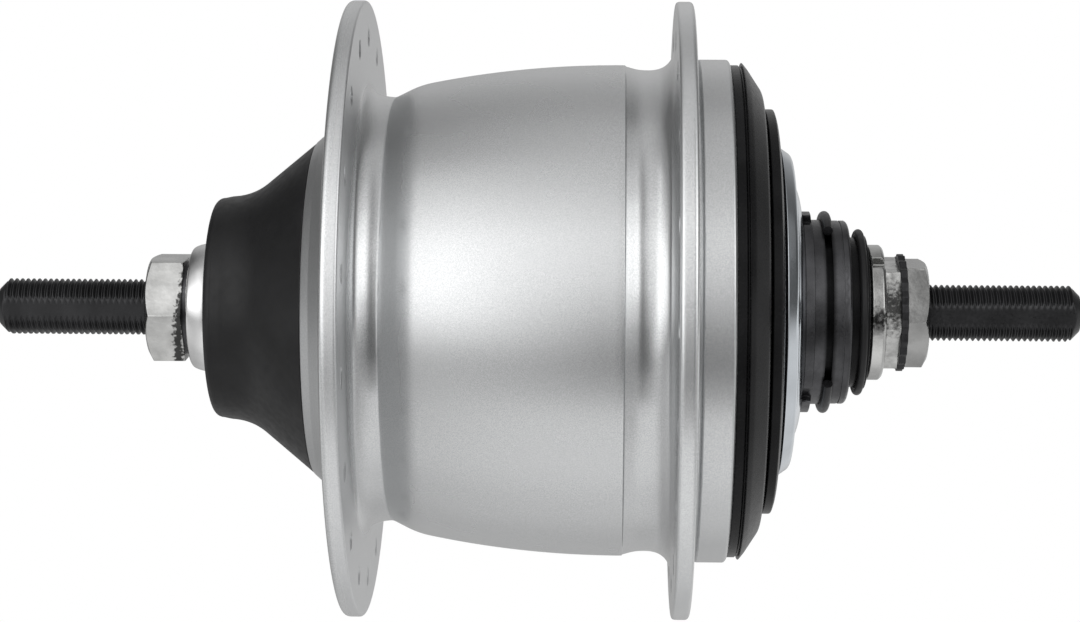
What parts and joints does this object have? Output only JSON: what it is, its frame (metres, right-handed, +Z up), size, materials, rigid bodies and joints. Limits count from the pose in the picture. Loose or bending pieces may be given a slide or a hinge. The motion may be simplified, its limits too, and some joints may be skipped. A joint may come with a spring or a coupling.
{
  "type": "internal gear hub",
  "caption": "Internal gear hub for a rim-brake rear wheel: silver shell with two spoke flanges, threaded axle, black dust caps, driver with snap ring and shift collar.",
  "frame": {"origin": "on the axle's centre line, midway between the outer faces of the two locknuts", "axes": "+X along the axle towards the sprocket side, +Z up, -Y towards the viewer of the picture"},
  "size_m": [0.184, 0.1048, 0.1048],
  "materials": {
    "black_axle": "black oxide, threaded",
    "zinc_steel": "grey zinc plating",
    "bearing_steel": "ground",
    "bright_cover": "bright plated",
    "black_rubber": "matt",
    "silver_paint": "satin silver paint",
    "black_cap": "satin black",
    "bright_plate": "bright plated",
    "dark_steel": "dark oiled steel",
    "black_wire": "black spring steel",
    "spring_steel": "spring wire",
    "gear_steel": "hardened, oiled",
    "cage_steel": "pressed"
  },
  "bodies": {
    "axle": {"axle": "black_axle", "left_locknut": "zinc_steel", "left_cone": "bearing_steel", "left_cone_cover": "bright_cover", "right_locknut": "zinc_steel", "serrated_washer": "black_wire", "right_cone": "zinc_steel", "sun_gear_large": "gear_steel", "sun_pawl_middle": "gear_steel", "sun_pawl_small": "gear_steel", "circlip": "gear_steel", "thrust_washer": "gear_steel"},
    "shell": {"hub_shell": "silver_paint", "left_rubber_cap": "black_rubber", "left_ball_cup": "bearing_steel", "right_ball_cup": "bearing_steel", "outer_dust_cap": "black_cap", "clutch_race": "gear_steel", "ratchet_ring": "gear_steel"},
    "driver": {"driver": "dark_steel", "inner_dust_ring": "black_cap", "driver_plate": "bright_plate", "snap_ring": "black_wire", "driver_cap": "black_cap", "driver_seal": "black_rubber"},
    "carrier": {"planet_carrier": "gear_steel", "planet_pins": "gear_steel", "carrier_pawls": "gear_steel"},
    "ring": {"ring_gear": "gear_steel", "clutch_rollers": "gear_steel", "roller_cage": "cage_steel"},
    "planet_1": {"planet_gear_1": "gear_steel"},
    "planet_2": {"planet_gear_2": "gear_steel"},
    "planet_3": {"planet_gear_3": "gear_steel"},
    "planet_4": {"planet_gear_4": "gear_steel"},
    "sun_middle": {"sun_gear_middle": "gear_steel"},
    "sun_small": {"sun_gear_small": "gear_steel"},
    "left_bearing": {"left_balls": "bearing_steel", "left_ball_cage": "cage_steel"},
    "shell_bearing": {"shell_balls": "bearing_steel", "shell_ball_cage": "cage_steel"},
    "driver_bearing": {"driver_balls": "bearing_steel", "driver_ball_cage": "cage_steel"},
    "shift_sleeve": {"gear_sleeve": "bearing_steel", "sleeve_collar": "zinc_steel", "return_spring": "spring_steel"},
    "first_pawl": {"sun_pawl_large": "gear_steel"}
  },
  "joints": [
    {"name": "shell_spin", "type": "hinge", "parent": "axle", "child": "shell", "pos_m": [0, 0, 0], "axis": [1, 0, 0], "continuous": true},
    {"name": "driver_spin", "type": "hinge", "parent": "axle", "child": "driver", "pos_m": [0, 0, 0], "axis": [1, 0, 0], "continuous": true},
    {"name": "carrier_spin", "type": "hinge", "parent": "axle", "child": "carrier", "pos_m": [0, 0, 0], "axis": [1, 0, 0], "continuous": true},
    {"name": "ring_gear_spin", "type": "hinge", "parent": "axle", "child": "ring", "pos_m": [0, 0, 0], "axis": [1, 0, 0], "continuous": true},
    {"name": "sun_middle_spin", "type": "hinge", "parent": "axle", "child": "sun_middle", "pos_m": [0, 0, 0], "axis": [1, 0, 0], "continuous": true},
    {"name": "sun_small_spin", "type": "hinge", "parent": "axle", "child": "sun_small", "pos_m": [0, 0, 0], "axis": [1, 0, 0], "continuous": true},
    {"name": "left_bearing_spin", "type": "hinge", "parent": "axle", "child": "left_bearing", "pos_m": [0, 0, 0], "axis": [1, 0, 0], "continuous": true},
    {"name": "shell_bearing_spin", "type": "hinge", "parent": "axle", "child": "shell_bearing", "pos_m": [0, 0, 0], "axis": [1, 0, 0], "continuous": true},
    {"name": "driver_bearing_spin", "type": "hinge", "parent": "axle", "child": "driver_bearing", "pos_m": [0, 0, 0], "axis": [1, 0, 0], "continuous": true},
    {"name": "planet_1_spin", "type": "hinge", "parent": "carrier", "child": "planet_1", "pos_m": [0, 0.01485, 0.01485], "axis": [1, 0, 0], "continuous": true},
    {"name": "planet_2_spin", "type": "hinge", "parent": "carrier", "child": "planet_2", "pos_m": [0, -0.01485, 0.01485], "axis": [1, 0, 0], "continuous": true},
    {"name": "planet_3_spin", "type": "hinge", "parent": "carrier", "child": "planet_3", "pos_m": [0, -0.01485, -0.01485], "axis": [1, 0, 0], "continuous": true},
    {"name": "planet_4_spin", "type": "hinge", "parent": "carrier", "child": "planet_4", "pos_m": [0, 0.01485, -0.01485], "axis": [1, 0, 0], "continuous": true},
    {"name": "shift_turn", "type": "hinge", "parent": "axle", "child": "shift_sleeve", "pos_m": [0, 0, 0], "axis": [1, 0, 0], "range_deg": [0, 154], "stiffness_Nm_per_rad": 0.05, "springref_deg": -17.19},
    {"name": "first_pawl_tilt", "type": "hinge", "parent": "axle", "child": "first_pawl", "pos_m": [0, 0.0004, 0.0056], "axis": [1, 0, 0], "range_deg": [0, 38.1]}
  ],
  "couplings": [
    {"joint": "driver_spin", "follows": "shell_spin", "ratio": 0.61905},
    {"joint": "carrier_spin", "follows": "shell_spin", "ratio": 0.61905},
    {"joint": "ring_gear_spin", "follows": "shell_spin", "ratio": 1},
    {"joint": "sun_middle_spin", "follows": "shell_spin", "ratio": -0.37143},
    {"joint": "sun_small_spin", "follows": "shell_spin", "ratio": -0.86667},
    {"joint": "left_bearing_spin", "follows": "shell_spin", "ratio": 0.5779},
    {"joint": "shell_bearing_spin", "follows": "shell_spin", "ratio": 0.8206},
    {"joint": "driver_bearing_spin", "follows": "shell_spin", "ratio": 0.349},
    {"joint": "planet_1_spin", "follows": "shell_spin", "ratio": 1.981},
    {"joint": "planet_2_spin", "follows": "shell_spin", "ratio": 1.981},
    {"joint": "planet_3_spin", "follows": "shell_spin", "ratio": 1.981},
    {"joint": "planet_4_spin", "follows": "shell_spin", "ratio": 1.981},
    {"joint": "first_pawl_tilt", "follows": "shift_turn", "ratio": 0.24675}
  ]
}
